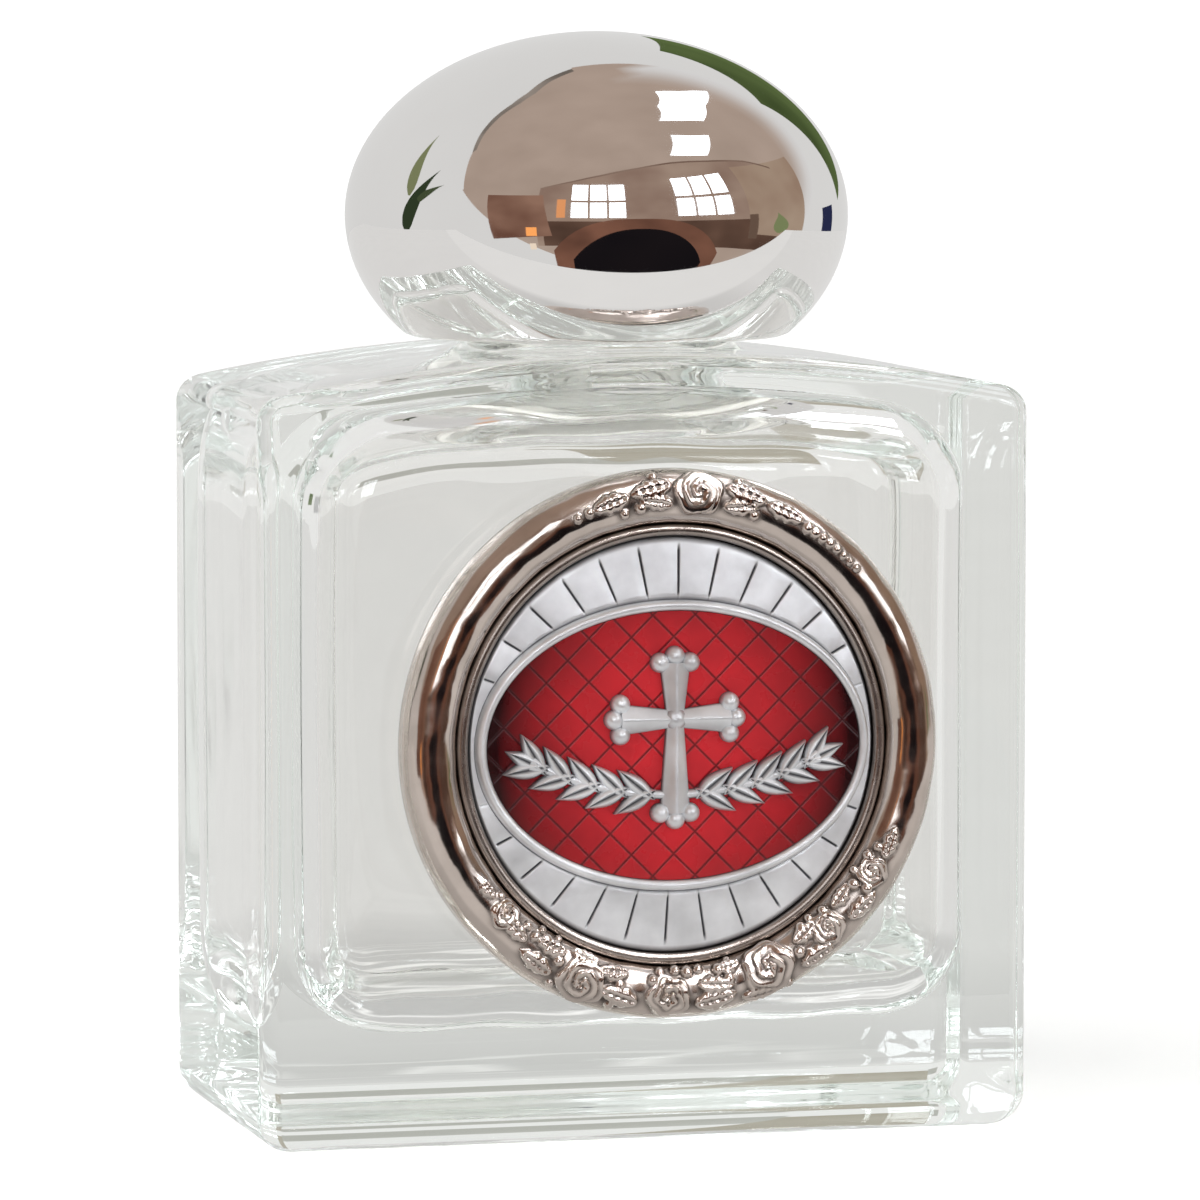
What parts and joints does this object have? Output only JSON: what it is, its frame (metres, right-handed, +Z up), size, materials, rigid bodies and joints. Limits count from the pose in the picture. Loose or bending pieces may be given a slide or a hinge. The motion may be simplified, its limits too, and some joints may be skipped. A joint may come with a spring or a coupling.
{
  "type": "holy water bottle",
  "caption": "Small rectangular clear glass flacon with a chromed egg-shaped screw cap and a glued-on silver medallion with a red enamelled oval.",
  "frame": {"origin": "middle of the flat base of the glass body, on the axis of the neck", "axes": "+Z up the neck's axis, -Y out of the front that carries the medallion, +X to the right seen from the front"},
  "size_m": [0.044, 0.0294, 0.0614],
  "materials": {
    "clear_glass": "clear pressed glass with a faint green edge",
    "chromed_shell": "bright vacuum-metallised plastic",
    "white_plastic": "moulded polypropylene",
    "liner_foam": "closed-cell sealing foam",
    "adhesive": "double-sided foam tape",
    "nickel": "polished warm nickel plate, darkened in the hollows",
    "antique_silver": "antiqued silver plate, dark in the grooves",
    "red_enamel": "glossy translucent red enamel"
  },
  "bodies": {
    "bottle": {"glass_bottle": "clear_glass", "adhesive_pad": "adhesive", "medallion_frame": "nickel", "silver_plaque": "antique_silver", "enamel_field": "red_enamel", "emblem": "antique_silver"},
    "liner": {"cap_liner": "liner_foam"},
    "cap": {"cap_shell": "chromed_shell", "cap_insert": "white_plastic"}
  },
  "joints": [
    {"name": "cap_lift", "type": "slide", "parent": "bottle", "child": "liner", "axis": [0, 0, 1], "range_m": [0, 0.0112]},
    {"name": "cap_turn", "type": "hinge", "parent": "liner", "child": "cap", "pos_m": [0, 0, 0.05], "axis": [0, 0, 1], "range_deg": [0, 1260]}
  ],
  "couplings": [
    {"joint": "cap_lift", "follows": "cap_turn", "m_per_rad": 0.00050532}
  ]
}
